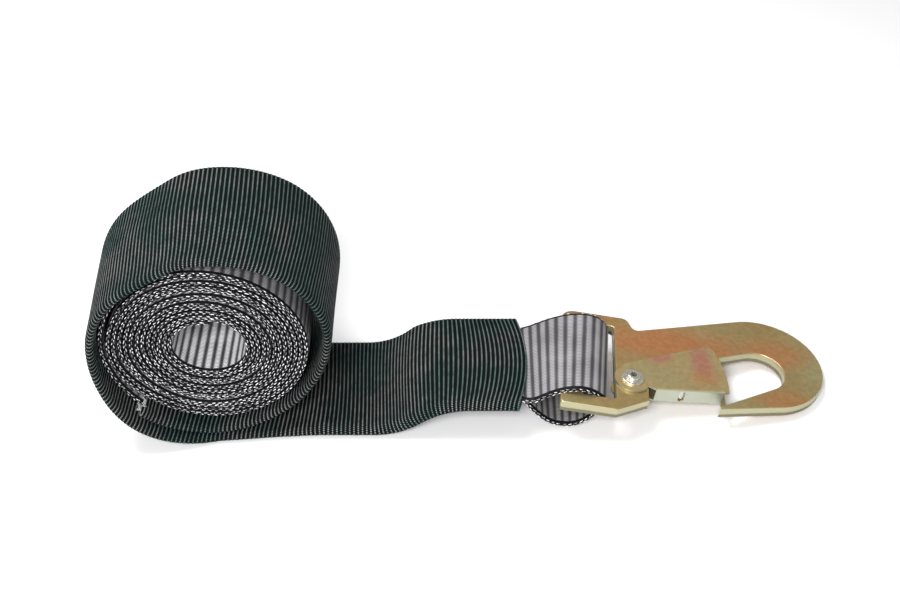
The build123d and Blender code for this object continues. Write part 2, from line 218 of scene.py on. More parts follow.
# painted shade: dark colour of a band low on each wall
LOW_WALL_PAINTED_SHADE = (0.10, 0.085, 0.045, 1.0)
RIVET_TINT = (0.60, 0.56, 0.46, 1.0)
WASHER_TINT = (0.52, 0.48, 0.36, 1.0)
SPRING_TINT = (0.30, 0.31, 0.33, 1.0)
BRIGHT_TINT = (0.86, 0.84, 0.76, 1.0)
FLOOR_SHADED = (0.80, 0.80, 0.80, 1.0)
FLOOR_PALE = (0.84, 0.84, 0.84, 1.0)
WHITE = (1.0, 1.0, 1.0, 1.0)

# ---- studio, in metres ----
WORLD_STRENGTH = 0.38
FLOOR_RADIUS = 4.0
FLOOR_HEIGHT = -0.0002
CAMERA_TARGET = Vector((0.1117, 0.0724, 0.0))
CAMERA_DISTANCE = 0.8
CAMERA_ELEVATION = radians(40.0)
CAMERA_LENS = 59.04
CAMERA_SENSOR = 36.0


# ------------------------------------------------------------------ paths
def arc(centre, radius, start, end):
    """Points along an arc; the radius may be a number or a function of the angle in degrees."""
    count = max(3, int(abs(radians(end - start)) * USUAL_RADIUS / PATH_STEP))
    angle = np.linspace(start, end, count)
    size = radius(angle) if callable(radius) else radius
    turn = np.radians(angle)
    return np.column_stack((centre[0] + size * np.cos(turn), centre[1] + size * np.sin(turn)))


def smooth(value, low, high):
    """Smooth step from 0 at low to 1 at high."""
    share = np.clip((value - low) / (high - low), 0.0, 1.0)
    return share * share * (3 - 2 * share)


def spline(points):
    """Catmull-Rom curve through points."""
    knots = np.array(points, float)
    first = 2 * knots[0] - knots[1]
    last = 2 * knots[-1] - knots[-2]
    knots = np.vstack((first, knots, last))
    pieces = []
    for a, b, c, d in zip(knots, knots[1:], knots[2:], knots[3:]):
        count = max(3, int(np.linalg.norm(c - b) / PATH_STEP))
        t = np.linspace(0, 1, count, endpoint=False)[:, None]
        square = 2 * a - 5 * b + 4 * c - d
        cube = 3 * b - a - 3 * c + d
        pieces.append(0.5 * (2 * b + (c - a) * t + square * t**2 + cube * t**3))
    pieces.append(knots[-2][None, :])
    return np.vstack(pieces)


def join(*paths):
    """Paths laid end to end, without the points that two of them share."""
    points = np.vstack(paths)
    gaps = np.linalg.norm(np.diff(points, axis=0), axis=1)
    return points[np.concatenate(([True], gaps > 1e-4))]


def right_side(points):
    """Unit normals on the right of the path: the outside of the roll, the underside of the run."""
    along = np.gradient(points, axis=0)
    along /= np.linalg.norm(along, axis=1)[:, None]
    return np.column_stack((along[:, 1], -along[:, 0]))


def moved(points, distance):
    """The path moved to its right."""
    return points + right_side(points) * distance


class Path:
    """A path with the distance along it."""

    def __init__(self, points):
        self.points = points
        steps = np.linalg.norm(np.diff(points, axis=0), axis=1)
        self.distance = np.concatenate(([0.0], np.cumsum(steps)))
        self.length = self.distance[-1]
        self.side = right_side(points)

    def at(self, distance):
        """Points and unit normals at distances along the path."""
        place = [np.interp(distance, self.distance, self.points[:, k]) for k in (0, 1)]
        side = np.column_stack([np.interp(distance, self.distance, self.side[:, k]) for k in (0, 1)])
        side /= np.linalg.norm(side, axis=1)[:, None]
        return np.column_stack(place), side


def roll_radius(angle):
    """Radius of the spiral, which is a little oval, with a bulge at the left that grows outwards."""
    share = (angle - ROLL_START) / (ROLL_END - ROLL_START)
    radius = ROLL_FIRST_RADIUS + (ROLL_LAST_RADIUS - ROLL_FIRST_RADIUS) * share
    oval = ROLL_OVAL * np.cos(np.radians(2 * angle))
    wave = ROLL_WAVE * np.sin(np.radians(3 * angle + 40)) * share
    away = (angle - ROLL_BULGE_ANGLE + 180.0) % 360.0 - 180.0
    bulge = ROLL_BULGE * np.exp(-((away / ROLL_BULGE_WIDTH) ** 2)) * smooth(share, 0.3, 1.0)
    return radius + oval + wave + bulge


def turn_radius(number):
    """Radius of the middle of the sleeved turn on its inner, middle or outer arc."""
    return OUTER_TURN_RADIUS - TURN_STEP + number * TURN_STEP / 2 - SLEEVE_THICKNESS / 2


def slack_radius(angle):
    """The turn stands off the roll at the right."""
    slack = np.clip(np.cos(np.radians(angle - RIGHT_SLACK_ANGLE)), 0, 1) ** 2
    return turn_radius(1) + RIGHT_SLACK * slack * smooth(TURN_TOP - angle, 0, 45)


def dipped_radius(angle):
    """The outer arc sinks a little just past the top."""
    dip = np.exp(-(((angle - TOP_DIP_ANGLE) / TOP_DIP_WIDTH) ** 2))
    dip = dip * smooth(angle, TURN_TOP, TURN_TOP + 28.0)
    return turn_radius(2) - TOP_DIP * dip


def sleeved_turn():
    """Middle of the turn that the sleeve covers, from its mouth to the ground."""
    centre = (0.0, OUTER_TURN_RADIUS)
    middle = (0.0, OUTER_TURN_RADIUS + TURN_STEP / 2)
    return [
        arc(centre, turn_radius(0), MOUTH_ANGLE, TURN_BOTTOM),
        arc(middle, slack_radius, TURN_BOTTOM, TURN_TOP),
        arc(centre, dipped_radius, TURN_TOP, TURN_END),
    ]


def roll():
    """Spiral of bare webbing, and the way out to the sleeve's mouth."""
    spiral = arc(ROLL_CENTRE, roll_radius, ROLL_START, ROLL_END)
    mouth = 360.0 * (ROLL_END // 360.0) + MOUTH_ANGLE

    def leaving(angle):
        """From the spiral's radius out to the radius of the sleeve's mouth."""
        inside = roll_radius(angle)
        return inside + (turn_radius(0) - inside) * smooth(angle, ROLL_END + 40.0, mouth)

    way_out = arc(ROLL_CENTRE, leaving, ROLL_END, mouth)
    centre_shift = np.array((0.0, OUTER_TURN_RADIUS)) - np.array(ROLL_CENTRE)
    share = smooth(np.linspace(0, 1, len(way_out)), 0.5, 1.0)
    return spiral, way_out + share[:, None] * centre_shift


def ramp_height(x):
    """Height of the run's underside: two tangent arcs lift it to the hook."""
    length = RAMP_END - RAMP_START
    radius = (length**2 + RAMP_RISE**2) / (4 * RAMP_RISE)
    middle = (RAMP_START + RAMP_END) / 2
    low = radius - np.sqrt(radius**2 - np.clip(x - RAMP_START, 0, length / 2) ** 2)
    high = RAMP_RISE - radius + np.sqrt(radius**2 - np.clip(RAMP_END - x, 0, length / 2) ** 2)
    return np.where(x < middle, low, high)


def ramp_skew(x, y):
    """How much the ramp's front edge lags behind, and its rear edge leads."""
    return ramp_height(x + RAMP_SKEW * y) - ramp_height(x)


def run_underside(start, end):
    """Underside of the sleeve from the roll to the hook."""
    x = np.linspace(start, end, int((end - start) / PATH_STEP))
    return np.column_stack((x, ramp_height(x)))


def webbing_path():
    """The whole strap on its middle line."""
    depth = (SLEEVE_THICKNESS - WEBBING_THICKNESS) / 2
    run = moved(run_underside(0.0, SLEEVE_END - 1), -depth - WEBBING_THICKNESS / 2)
    lap = moved(run_underside(LAP_END, SLEEVE_END - 1), -depth - 1.5 * WEBBING_THICKNESS)[::-1]
    loop = moved(spline(LOOP_OUTSIDE), -WEBBING_THICKNESS / 2)
    return Path(join(*roll(), *sleeved_turn(), run, loop, lap))


def sleeve_depth(x):
    """Thickness of the filled sleeve along the run."""
    return SLEEVE_THICKNESS + (LAPPED_THICKNESS - SLEEVE_THICKNESS) * smooth(x, TAPER_START, TAPER_END)


def sleeve_path():
    """Middle of the filled sleeve from its mouth to its end at the hook."""
    under = run_underside(0.0, SLEEVE_END)
    run = under - right_side(under) * sleeve_depth(under[:, 0])[:, None] / 2
    return Path(join(*sleeved_turn(), run))


# ------------------------------------------------------------------ meshes
def ring_quads(rows, around, first=0):
    """Quads between rings that follow each other."""
    row = np.arange(rows - 1)[:, None]
    here = np.arange(around)[None, :]
    after = (here + 1) % around
    a = first + row * around + here
    b = first + row * around + after
    return np.stack((a, b, b + around, a + around), axis=-1).reshape(-1, 4)


def ring_uv(along, around):
    """UV of the same quads: distance along, and distance round the section."""
    u0, v0 = np.meshgrid(along[:-1], around[:-1], indexing="ij")
    u1, v1 = np.meshgrid(along[1:], around[1:], indexing="ij")
    corners = [(u0, v0), (u0, v1), (u1, v1), (u1, v0)]
    return np.stack([np.stack(corner, axis=-1) for corner in corners], axis=2).reshape(-1, 4, 2)


def make_object(name, points, faces, uv=None):
    """Object from points in millimetres, with smooth shading and normals that face out."""
    mesh = bpy.data.meshes.new(name)
    mesh.from_pydata((np.asarray(points) * MM).tolist(), [], faces)
    if uv is not None:
        layer = mesh.uv_layers.new(name="weave")
        flat = np.zeros((len(mesh.loops), 2), np.float32)
        flat[: uv.size // 2] = uv.reshape(-1, 2)
        layer.data.foreach_set("uv", flat.ravel())
    mesh.polygons.foreach_set("use_smooth", np.ones(len(mesh.polygons), bool))
    work = bmesh.new()
    work.from_mesh(mesh)
    bmesh.ops.recalc_face_normals(work, faces=work.faces)
    work.to_mesh(mesh)
    work.free()
    made = bpy.data.objects.new(name, mesh)
    bpy.context.scene.collection.objects.link(made)
    return made


def flat_section(width, columns, end_points, end_depth):
    """Half of a flat section: y across, share of the half thickness, from one edge to the other.

    The edge is a rounded fold of the given depth; the other face mirrors it.
    """
    fold = np.linspace(0, pi / 2, end_points)
    y = -width / 2 + end_depth * (1 - np.cos(fold))
    height = np.sin(fold)
    middle = np.linspace(y[-1], -y[-1], columns + 1)[1:-1]
    across = np.concatenate((y, middle, -y[::-1]))
    share = np.concatenate((height, np.ones(len(middle)), height[::-1]))
    return across, share


def closed_section(width, columns, end_points, end_depth, thickness):
    """Whole section: y, share of the half thickness (positive right of the path), and distance round."""
    across, share = flat_section(width, columns, end_points, end_depth)
    y = np.concatenate((across, across[-2:0:-1]))
    rise = np.concatenate((share, -share[-2:0:-1]))
    steps = np.hypot(np.diff(np.append(y, y[0])), np.diff(np.append(rise, rise[0])) * thickness / 2)
    return y, rise, np.concatenate(([0.0], np.cumsum(steps)))


# ------------------------------------------------------------------ the webbing
def webbing_section():
    """Section of the webbing, with rounded edges."""
    return closed_section(
        WEBBING_WIDTH, SECTION_COLUMNS, SECTION_EDGE_POINTS, WEBBING_THICKNESS / 2, WEBBING_THICKNESS
    )


def wander(distance):
    """How far the webbing lies to the rear or front where it is rolled."""
    return 0.55 * np.sin(distance / 61.0) + 0.4 * np.sin(distance / 23.0 + 1.0)


def turn_angle(distance, length):
    """Angle round the sleeved turn, in degrees, at a distance along it."""
    return MOUTH_ANGLE + (TURN_END - MOUTH_ANGLE) * np.clip(distance / length, 0, 1)


def turn_droop(distance, length, y):
    """How far the sleeved turn sinks towards the roll, at a distance along it and a place across it.

    Over the top its front edge sinks and its rear edge flares out. At the left it leans the same way.
    """
    angle = turn_angle(distance, length)
    over_top = np.clip(np.cos(np.radians(angle - FRONT_DROOP_ANGLE)), 0, 1) ** 1.5
    droop = FRONT_DROOP * over_top * (angle > FRONT_DROOP_ANGLE - 90) * smooth(-y, -8, HALF_REACH)
    flare = REAR_FLARE * np.clip(np.cos(np.radians(angle - REAR_FLARE_ANGLE)), 0, 1) ** 2
    droop = droop - flare * (angle > REAR_FLARE_ANGLE - 90) * smooth(y, -5, HALF_REACH)
    lean = LEFT_LEAN * np.clip(np.cos(np.radians(angle - LEFT_LEAN_ANGLE)), 0, 1) ** 2
    clear_of_mouth = smooth(MOUTH_ANGLE + 360 - angle, 0, 30)
    return droop - lean * (angle > LEFT_LEAN_ANGLE - 90) * clear_of_mouth * y / HALF_REACH


def turn_sway(distance, length):
    """Shift along Y round the sleeved turn, which leans back at the right, and of the run."""
    angle = turn_angle(distance, length)
    sway = TURN_SWAY * np.cos(np.radians(angle - TURN_SWAY_ANGLE)) - TURN_FORWARD
    sway = sway - FRONT_SPILL * np.exp(-(((angle - FRONT_SPILL_ANGLE) / FRONT_SPILL_WIDTH) ** 2))
    on_run = smooth(distance, length - 10, length + 42)
    return sway * (1 - on_run) + RUN_SHIFT * on_run


def webbing_shift(distance, marks):
    """Shift along Y at each distance: loose turns in the roll, then as the sleeve."""
    rolled = 1 - smooth(distance, marks["roll"] - LAST_LOOSE_STRETCH, marks["roll"])
    loose = ROLL_FORWARD + wander(distance)
    sway = turn_sway(distance - marks["roll"], marks["turn"] - marks["roll"])
    return rolled * loose + (1 - rolled) * sway


def webbing_marks():
    """Distances along the webbing at which the roll, the turn, the run and the loop end."""
    rolled = Path(join(*roll())).length
    turn = rolled + Path(join(*sleeved_turn())).length
    loop = turn + Path(run_underside(0.0, SLEEVE_END)).length - 0.5
    back = loop + Path(spline(LOOP_OUTSIDE)).length
    return {"roll": rolled, "turn": turn, "loop": loop, "back": back}


def webbing_rows(path, marks):
    """Distances of the mesh rows: close where the webbing is bare, wide apart inside the sleeve."""
    return np.concatenate((
        np.arange(0.0, marks["roll"] + 6, BAND_PITCH / 4),
        np.arange(marks["roll"] + 7, marks["loop"] - 8, HIDDEN_ROW_PITCH),
        np.arange(marks["loop"] - 7, marks["back"] + 7, BAND_PITCH / 8),
        np.arange(marks["back"] + 8, path.length, HIDDEN_ROW_PITCH),
        [path.length],
    ))


def loop_shape(points, distance, marks):
    """Twist and skew of the loop: the rear edge rides higher, and the fold follows the hook's yaw."""
    share = (distance - marks["loop"]) / (marks["back"] - marks["loop"])
    y = points[..., 1]
    upper = smooth(share, 0.45, 0.62) * (1 - smooth(share, 0.9, 1.02))
    fold = smooth(share, 0.15, 0.42) * (1 - smooth(share, 0.62, 0.95))
    half = WEBBING_WIDTH / 2
    points[..., 2] += (y - half) / WEBBING_WIDTH * LOOP_REAR_LIFT * upper
    points[..., 1] -= (LOOP_FORWARD - y / half * LOOP_SPREAD) * upper
    points[..., 0] += LOOP_YAW * y * fold
    return points


def strap_thickness(distance, marks):
    """Rolled webbing is pressed a little thinner."""
    rolled = 1 - smooth(distance, marks["roll"] - LAST_PRESSED_STRETCH, marks["roll"])
    free = WEBBING_THICKNESS - 0.1
    return free - (free - ROLLED_THICKNESS) * rolled


def strap_point(path, marks, distance, y, rise, lift=0.0):
    """Points of the strap at distances along it, across it, and by share of its half thickness."""
    place, side = path.at(distance)
    half = strap_thickness(distance, marks)[:, None] / 2
    droop = turn_droop((distance - marks["roll"])[:, None], marks["turn"] - marks["roll"], y[None, :])
    height = rise[None, :] * half + lift - droop
    across = y[None, :] + webbing_shift(distance, marks)[:, None]
    x = place[:, :1] + side[:, :1] * height
    z = place[:, 1:] + side[:, 1:] * height
    z = z + ramp_skew(x, y[None, :])
    points = np.stack((x, np.broadcast_to(across, x.shape), z), axis=-1)
    return loop_shape(points, distance[:, None], marks)


def webbing_strap(path, marks):
    """One closed ribbon with cross bands and rounded selvages."""
    y, rise, around = webbing_section()
    distance = webbing_rows(path, marks)
    inner = np.clip((WEBBING_WIDTH / 2 - SELVAGE_WIDTH - np.abs(y)) / 1.5, 0, 1)
    band = 0.5 + 0.5 * np.cos(2 * pi * distance / BAND_PITCH)
    outward = np.sign(rise)[None, :]
    lift = band[:, None] * outward * inner[None, :] * BAND_HEIGHT - BAND_HEIGHT / 2 * outward
    points = strap_point(path, marks, distance, y, rise, lift).reshape(-1, 3)
    rows = len(distance)
    ends = [list(range(len(y))), list(range((rows - 1) * len(y), rows * len(y)))]
    faces = ring_quads(rows, len(y)).tolist() + ends
    return make_object("webbing_strap", points, faces, ring_uv(distance, around))


def capsule(sides=5):
    """Points and faces of a small capsule along X: unit length, unit radius."""
    turn = np.arange(sides) * 2 * pi / sides
    points = []
    for x, radius in ((-0.5, 0.5), (-0.36, 1.0), (0.36, 1.0), (0.5, 0.5)):
        points += [(x, radius * np.cos(t), radius * np.sin(t)) for t in turn]
    faces = ring_quads(4, sides).tolist()
    faces += [list(range(sides)), list(range(3 * sides, 4 * sides))]
    return np.array(points), faces


def capsules(name, centres, directions, lengths, radii):
    """One object of many short threads."""
    shape, faces = capsule()
    along = directions / np.linalg.norm(directions, axis=1)[:, None]
    helper = np.where(np.abs(along[:, 1:2]) > 0.9, [[1.0, 0.0, 0.0]], [[0.0, 1.0, 0.0]])
    side = np.cross(along, helper)
    side /= np.linalg.norm(side, axis=1)[:, None]
    up = np.cross(side, along)
    points = (
        centres[:, None, :]
        + shape[None, :, :1] * (along * lengths[:, None])[:, None, :]
        + shape[None, :, 1:2] * (side * radii[:, None])[:, None, :]
        + shape[None, :, 2:] * (up * radii[:, None])[:, None, :]
    )
    every = [[i + k * len(shape) for i in face] for k in range(len(centres)) for face in faces]
    return make_object(name, points.reshape(-1, 3), every)


def selvage_picks(path, marks):
    """Light weft loops that show in two rows along each black selvage."""
    random = np.random.RandomState(7)
    bare = [(2.0, marks["roll"] + 4), (marks["loop"] - 4, marks["back"] + 4)]
    centres = []
    directions = []
    for edge in (-1, 1):
        for row in (-1, 1):
            for start, end in bare:
                distance = np.arange(start + (row + 1) * PICK_PITCH / 4, end, PICK_PITCH)
                distance = distance + random.uniform(-PICK_JITTER, PICK_JITTER, len(distance))
                tilt = PICK_TILT * row
                ends = []
                for reach in (-0.5, 0.5):
                    rise = np.array([row * PICK_HEIGHT + reach * tilt])
                    y = np.array([edge * (WEBBING_WIDTH / 2 - PICK_DEPTH)])
                    ends.append(strap_point(path, marks, distance + reach, y, rise)[:, 0, :])
                centres.append((ends[0] + ends[1]) / 2)
                directions.append(ends[1] - ends[0])
    centres = np.vstack(centres)
    lengths = PICK_LENGTH * random.uniform(0.7, 1.15, len(centres))
    radii = PICK_RADIUS * random.uniform(0.75, 1.15, len(centres))
    return capsules("selvage_picks", centres, np.vstack(directions), lengths, radii)


# ------------------------------------------------------------------ the wear sleeve
def rib_wave(distance, y, length):
    """How far the ribs bow and wander along the sleeve."""
    edge = (y / (SLEEVE_WIDTH / 2 - 1.5)) ** 2
    near_end = smooth(distance, length - 60, length)
    bow = 1.2 * np.sin(distance / 47.0) * (1 - edge)
    lean = 0.9 * np.sin(distance / 29.0 + y / 21.0)
    end_bow = near_end * (2.6 - 4.6 * edge)
    quiet = smooth(distance, 0, 8)
    return (bow + lean) * quiet * (1 - near_end) + end_bow


def sleeve_surface(path, turn, distance, y, rise, inset, ribs):
    """Points of one of the sleeve's two surfaces, which lies inset from the outside."""
    columns = np.broadcast_to(y[None, :], (len(distance), len(y)))
    bowed = distance[:, None] + rib_wave(distance[:, None], columns, path.length)
    reach = np.clip(bowed, 0, path.length + END_OVERHANG).ravel()
    place, side = path.at(np.clip(reach, 0, path.length))
    place[:, 0] += np.clip(reach - path.length, 0, None)
    half = sleeve_depth(np.where(reach > turn, place[:, 0], 0.0)) / 2
    height = np.tile(rise, len(distance)) * (half - inset)
    height += np.sign(height) * (ribs[:, None] * np.ones(len(y))).ravel()
    across = columns.ravel() + turn_sway(reach, turn)
    height = height - turn_droop(reach, turn, columns.ravel())
    x = place[:, 0] + side[:, 0] * height
    z = place[:, 1] + side[:, 1] * height + ramp_skew(x, columns.ravel())
    return np.column_stack((x, across, z))


def wear_sleeve(path, turn):
    """Woven tube with ribs across it: an outer and an inner surface joined at the two cut ends."""
    step = RIB_PITCH / RIB_SAMPLES
    distance = np.linspace(0, path.length, int(path.length / step))
    ribs = RIB_HEIGHT * (0.5 + 0.5 * np.cos(2 * pi * distance / RIB_PITCH)) - RIB_HEIGHT
    y, rise, around = closed_section(
        SLEEVE_WIDTH, SLEEVE_COLUMNS, SLEEVE_EDGE_POINTS, SLEEVE_EDGE_DEPTH, SLEEVE_THICKNESS
    )
    inner_distance = np.linspace(0, path.length, int(path.length / LINING_ROW_PITCH))
    inner_y = y * (SLEEVE_WIDTH - 2 * SLEEVE_WALL) / SLEEVE_WIDTH
    outer = sleeve_surface(path, turn, distance, y, rise, 0.0, ribs)
    inner = sleeve_surface(path, turn, inner_distance, inner_y, rise, SLEEVE_WALL, 0 * inner_distance)
    around_count = len(y)
    first_inner = len(outer)
    last_outer = first_inner - around_count
    last_inner = first_inner + len(inner) - around_count
    faces = ring_quads(len(distance), around_count).tolist()
    faces += ring_quads(len(inner_distance), around_count, first_inner).tolist()
    for here in range(around_count):
        after = (here + 1) % around_count
        faces.append([here, after, first_inner + after, first_inner + here])
        faces.append([last_outer + here, last_outer + after, last_inner + after, last_inner + here])
    uv = np.concatenate((ring_uv(distance, around), ring_uv(inner_distance, around)))
    return make_object("wear_sleeve", np.vstack((outer, inner)), faces, uv)


def frayed_threads(path):
    """Loose yarn ends at the sleeve's mouth."""
    random = np.random.RandomState(11)
    centres = []
    directions = []
    for _ in range(FRAY_COUNT):
        at_front = random.uniform() < FRAY_FRONT_SHARE
        low, high = (-FRAY_REACH, FRAY_FRONT_END) if at_front else (FRAY_FRONT_END, FRAY_REACH)
        y = random.uniform(low, high)
        rise = random.choice((-0.9, 0.9))
        place, side = path.at(np.array([0.0]))
        ahead = np.array([side[0, 1], -side[0, 0]])
        start = place[0] + side[0] * rise * FRAY_HALF_GAP
        spread = random.uniform(-0.5, 0.5, 3)
        along = np.array([ahead[0] + spread[0], spread[1] * 1.4, ahead[1] + spread[2]])
        size = random.uniform(0.6, 1.2)
        centres.append(np.array([start[0], y - FRAY_FORWARD, start[1]]) + along * size)
        directions.append(along)
    lengths = random.uniform(1.6, 3.2, len(centres))
    radii = random.uniform(0.12, 0.2, len(centres))
    return capsules("frayed_yarn_ends", np.array(centres), np.array(directions), lengths, radii)


def lap_stitches():
    """Rows of lockstitch that sew the lap to the main layer."""
    half = STITCH_HALF_WIDTH
    places = []
    directions = []
    for x in np.linspace(STITCH_START, STITCH_END, STITCH_ROWS):
        for y in np.arange(-half, half + 0.1, STITCH_PITCH):
            places.append((x, y))
            directions.append((STITCH_SLANT, 1.0, 0.0))
    for y in (-half, half):
        for x in np.arange(STITCH_START + 1.4, STITCH_END, STITCH_PITCH):
            places.append((x, y))
            directions.append((1.0, STITCH_SLANT, 0.0))
    centres = [(x, y, ramp_height(x + RAMP_SKEW * y) + STITCH_ABOVE_UNDERSIDE) for x, y in places]
    lengths = np.full(len(centres), STITCH_LENGTH)
    radii = np.full(len(centres), STITCH_RADIUS)
    return capsules("lap_stitches", np.array(centres), np.array(directions), lengths, radii)


# ------------------------------------------------------------------ materials
class Material:
    """A material and the nodes that are added to it."""

    def __init__(self, name):
        self.material = bpy.data.materials.new(name)
        self.material.use_nodes = True
        self.nodes = self.material.node_tree.nodes
        self.links = self.material.node_tree.links
        self.shader = self.nodes["Principled BSDF"]

    def node(self, kind, **settings):
        """A new node with its settings."""
        made = self.nodes.new(kind)
        for key, value in settings.items():
            setattr(made, key, value)
        return made

    def put(self, value, socket):
        """A number, a colour or another node's output into a socket."""
        if isinstance(value, bpy.types.NodeSocket):
            self.links.new(value, socket)
        else:
            socket.default_value = value

    def set(self, **values):
        """Sockets of the shader by name, with _ for a space."""
        for key, value in values.items():
            self.put(value, self.shader.inputs[key.replace("_", " ")])

    def math(self, operation, first, second=0.0, third=0.0):
        """Result of a maths node; each value may be a number or another node's output."""
        made = self.node("ShaderNodeMath", operation=operation)
        for socket, value in zip(made.inputs, (first, second, third)):
            self.put(value, socket)
        return made.outputs[0]

    def mix(self, factor, first, second):
        """From the first colour to the second as the factor goes from 0 to 1."""
        made = self.node("ShaderNodeMix", data_type="RGBA")
        self.put(factor, made.inputs["Factor"])
        self.put(first, made.inputs["A"])
        self.put(second, made.inputs["B"])
        return made.outputs["Result"]

    def wave(self, value, pitch, shift=0.0):
        """From 0 to 1 and back, once each pitch."""
        turns = self.math("MULTIPLY_ADD", value, 2 * pi / pitch, shift)
        return self.math("MULTIPLY_ADD", self.math("COSINE", turns), 0.5, 0.5)

    def ramp(self, value, low, high):
        """From 0 at low to 1 at high."""
        made = self.node("ShaderNodeMapRange", interpolation_type="SMOOTHSTEP")
        self.put(value, made.inputs["Value"])
        made.inputs["From Min"].default_value = low
        made.inputs["From Max"].default_value = high
        return made.outputs["Result"]

    def noise(self, scale, detail=3.0, stretch=None):
        """Soft noise from 0 to 1 over the object, finer where the scale is larger."""
        made = self.node("ShaderNodeTexNoise")
        made.inputs["Scale"].default_value = scale
        made.inputs["Detail"].default_value = detail
        place = self.place()
        if stretch:
            mapping = self.node("ShaderNodeMapping")
            mapping.inputs["Scale"].default_value = stretch
            self.put(place, mapping.inputs["Vector"])
            place = mapping.outputs[0]
        self.put(place, made.inputs["Vector"])
        return made.outputs["Fac"]

    def place(self):
        """Place of a point on the object, in metres."""
        return self.node("ShaderNodeTexCoord").outputs["Object"]

    def weave(self):
        """Distance along and distance round the section, in millimetres."""
        made = self.node("ShaderNodeUVMap", uv_map="weave")
        parts = self.node("ShaderNodeSeparateXYZ")
        self.put(made.outputs[0], parts.inputs[0])
        return parts.outputs["X"], parts.outputs["Y"]

    def bump(self, height, distance, strength=1.0):
        """Relief that the shader shows, of a height up to the distance in metres."""
        made = self.node("ShaderNodeBump")
        made.inputs["Distance"].default_value = distance
        made.inputs["Strength"].default_value = strength
        self.put(height, made.inputs["Height"])
        self.put(made.outputs[0], self.shader.inputs["Normal"])


def webbing_material(around_length):
    """Grey polyester: cross bands, fine lengthwise yarns and black selvages."""
    m = Material("grey_polyester_webbing")
    along, around = m.weave()
    edge = m.math("PINGPONG", around, around_length / 4)
    yarn = m.wave(around, THREAD_PITCH)
    half_band = m.math("FLOOR", m.math("MULTIPLY_ADD", along, 2 / BAND_PITCH, 0.5))
    odd = m.math("MODULO", half_band, 2.0)
    band = m.wave(along, BAND_PITCH)
    fine = m.wave(m.math("MULTIPLY_ADD", odd, THREAD_PITCH / 2, around), THREAD_PITCH)
    slant = m.wave(m.math("MULTIPLY_ADD", around, 0.45, along), 1.1)
    cloudy = m.noise(60.0, 2.0)
    # light: high on the lit band crests, low in the grooves where shade is painted, with a random cloudy
    # tone added
    light = m.math("MULTIPLY", m.ramp(band, -0.2, 0.85), m.math("MULTIPLY_ADD", fine, 0.7, 0.3))
    light = m.math("MULTIPLY", light, m.math("MULTIPLY_ADD", slant, 0.2, 0.8))
    light = m.math("ADD", light, m.math("MULTIPLY_ADD", cloudy, 0.6, -0.3))
    # painted light: the crests are painted much paler over the first turns, towards the roll's core
    pale = m.mix(m.ramp(along, 300.0, 120.0), WEBBING_CREST, WEBBING_CORE_PAINTED_LIGHT)
    # painted shade: the grooves between the cross bands and yarns fall to the near-black groove colour
    grey = m.mix(m.ramp(light, 0.0, 1.0), WEBBING_GROOVE_PAINTED_SHADE, pale)
    black = m.ramp(edge, SELVAGE_WIDTH + 1.25, SELVAGE_WIDTH + 0.85)
    dark = m.mix(yarn, SELVAGE_LOW, SELVAGE_HIGH)
    m.set(Base_Color=m.mix(black, grey, dark))
    m.set(Roughness=m.math("MULTIPLY_ADD", cloudy, 0.2, 0.38))
    m.set(Specular_IOR_Level=0.12)
    height = m.math("ADD", m.math("MULTIPLY", band, 0.5), m.math("MULTIPLY", fine, 0.3))
    height = m.math("MULTIPLY_ADD", slant, 0.25, height)
    m.bump(height, 0.00022)
    return m.material


def pick_material():
    """Bright silver-grey yarn of the weft loops."""
    m = Material("silver_weft_yarn")
    shade_and_tone = m.noise(900.0, 2.0)
    m.set(Base_Color=m.mix(m.ramp(shade_and_tone, 0.43, 0.60), PICK_SHADED, PICK_BRIGHT))
    m.set(Roughness=m.math("MULTIPLY_ADD", shade_and_tone, 0.2, 0.3))
    m.set(Specular_IOR_Level=0.6, Sheen_Weight=0.2)
    m.bump(m.noise(5000.0, 1.0, stretch=(1.0, 0.2, 1.0)), 0.0001, 0.6)
    return m.material


def sleeve_material():
    """Dark green-grey sleeve: bead-like yarn floats on each cross rib."""
    m = Material("dark_green_ribbed_sleeve")
    along, around = m.weave()
    rib = m.wave(along, RIB_PITCH)
    number = m.math("FLOOR", m.math("MULTIPLY_ADD", along, 1 / RIB_PITCH, 0.5))
    odd = m.math("MODULO", number, 2.0)
    bead = m.wave(m.math("MULTIPLY_ADD", odd, BEAD_PITCH / 2, around), BEAD_PITCH)
    cloudy = m.noise(35.0, 3.0)
    streak = m.noise(240.0, 2.0)
    # crest: the bead crests on each rib, which carry the painted highlight
    crest = m.math("MULTIPLY", m.ramp(rib, 0.5, 1.0), m.math("MULTIPLY_ADD", bead, 0.85, 0.15))
    shade_and_tone = m.math("MULTIPLY", crest, m.math("MULTIPLY_ADD", streak, 1.0, 0.35))
    shade_and_tone = m.math("MULTIPLY", shade_and_tone, m.math("MULTIPLY_ADD", cloudy, 0.9, 0.5))
    warm = m.mix(m.ramp(cloudy, 0.4, 0.62), SLEEVE_GREEN, SLEEVE_GREY)
    # painted shade in the grooves, near-black; the crests take the yarn colour, partly lightened as a
    # painted highlight
    m.set(Base_Color=m.mix(m.ramp(shade_and_tone, 0.05, 0.9), SLEEVE_GROOVE_PAINTED_SHADE, warm))
    m.set(Roughness=m.math("MULTIPLY_ADD", crest, -0.3, 0.8))
    m.set(Sheen_Weight=0.0, Specular_IOR_Level=0.1)
    height = m.math("MULTIPLY", m.math("MULTIPLY_ADD", bead, 0.6, 0.4), rib)
    m.bump(height, 0.00028)
    return m.material


